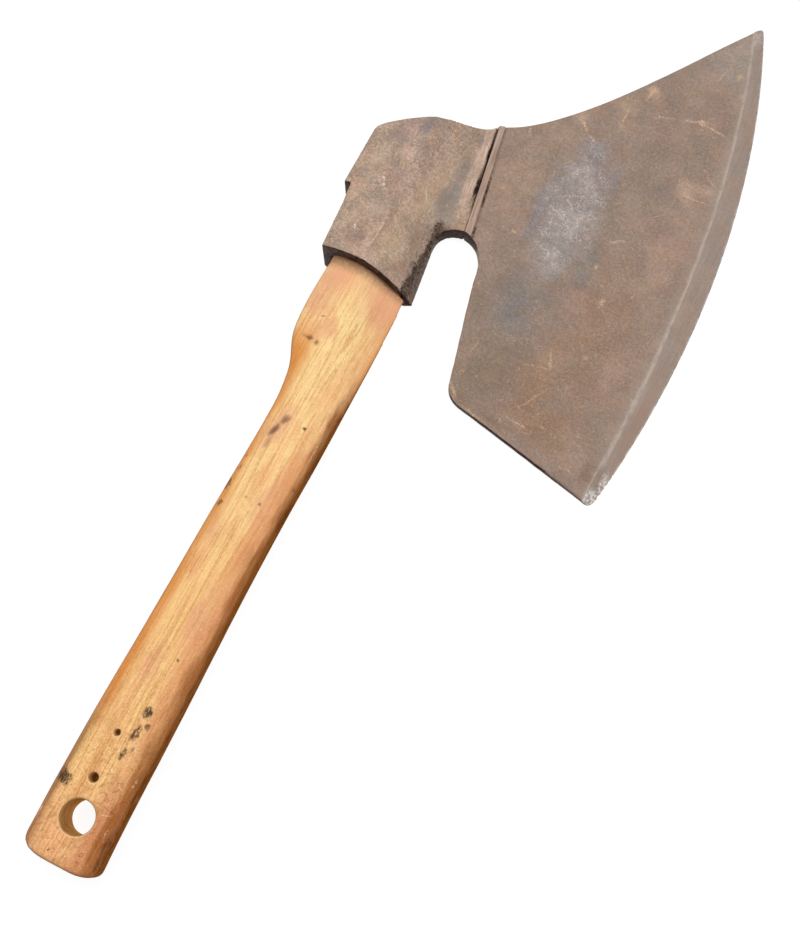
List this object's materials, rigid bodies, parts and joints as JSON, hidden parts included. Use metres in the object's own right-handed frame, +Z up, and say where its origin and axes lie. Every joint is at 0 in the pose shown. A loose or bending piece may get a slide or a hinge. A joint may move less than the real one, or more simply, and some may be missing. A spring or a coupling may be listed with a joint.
{
  "type": "broad axe",
  "caption": "Single-bevel hewing axe: broad flat-backed blade with a long curved edge, forged eye socket on a short wooden handle with a hang hole.",
  "frame": {"origin": "centre of the axe's box in plan, on the plane of the flat back that it lies on", "axes": "+X towards the cutting edge, +Y along the handle from butt to head, +Z up out of the bevelled side"},
  "size_m": [0.2312, 0.6542, 0.0327],
  "materials": {
    "iron": "brown rust patina on forged iron, rubbed smooth, with a bluish bare patch",
    "steel": "ground bevel, browned, bright where the edge is chipped",
    "handle_wood": "honey-coloured varnish over ash, worn and stained",
    "wedge_wood": "dry unvarnished end grain",
    "wedge_iron": "dark rusted iron"
  },
  "bodies": {
    "root": {"blade_body": "iron", "steel_bit": "steel", "eye_socket": "iron", "poll_plate": "iron", "handle": "handle_wood", "wood_wedge": "wedge_wood", "steel_wedge_1": "wedge_iron", "steel_wedge_2": "wedge_iron"}
  },
  "joints": []
}
